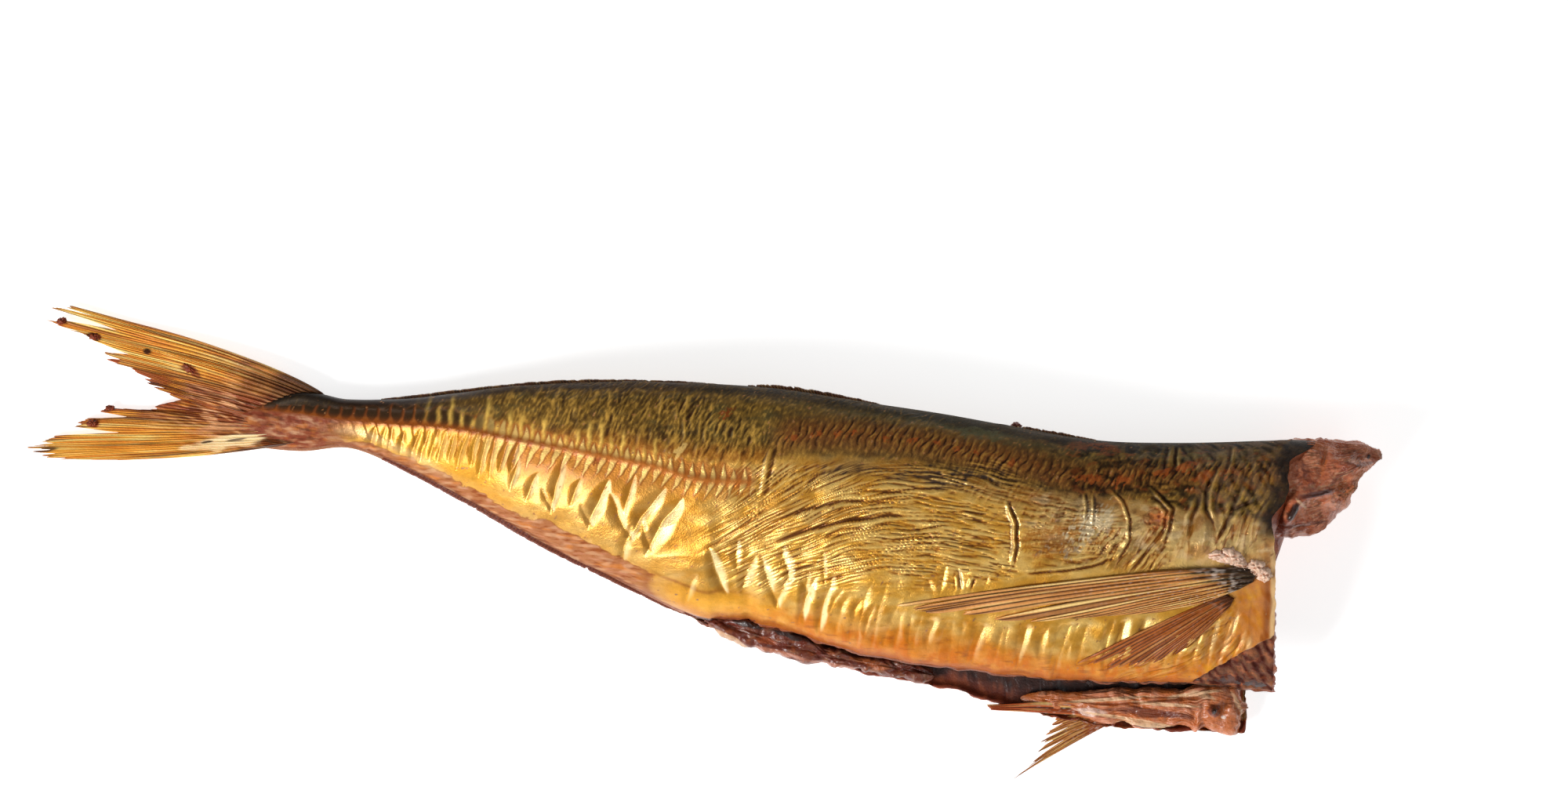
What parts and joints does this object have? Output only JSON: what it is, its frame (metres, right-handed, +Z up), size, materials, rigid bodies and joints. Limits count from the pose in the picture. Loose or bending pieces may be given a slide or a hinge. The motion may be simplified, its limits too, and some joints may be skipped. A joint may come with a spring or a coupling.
{
  "type": "smoked fish",
  "caption": "Headless smoked horse mackerel, gutted through a belly slit, lying on its side with its tail, side and belly fins on.",
  "frame": {"origin": "middle of the footprint, on the table that the far flank lies on", "axes": "+X from the tail to the cut neck, +Y from the belly to the back, +Z up out of the shown flank"},
  "size_m": [0.347, 0.1233, 0.0341],
  "materials": {
    "smoked_skin": "oily satin, golden flank and dark olive back",
    "fin_ray": "dry translucent amber rays",
    "bare_flesh": "dried moist flesh"
  },
  "bodies": {
    "root": {"smoked_fish": "smoked_skin"}
  },
  "joints": []
}
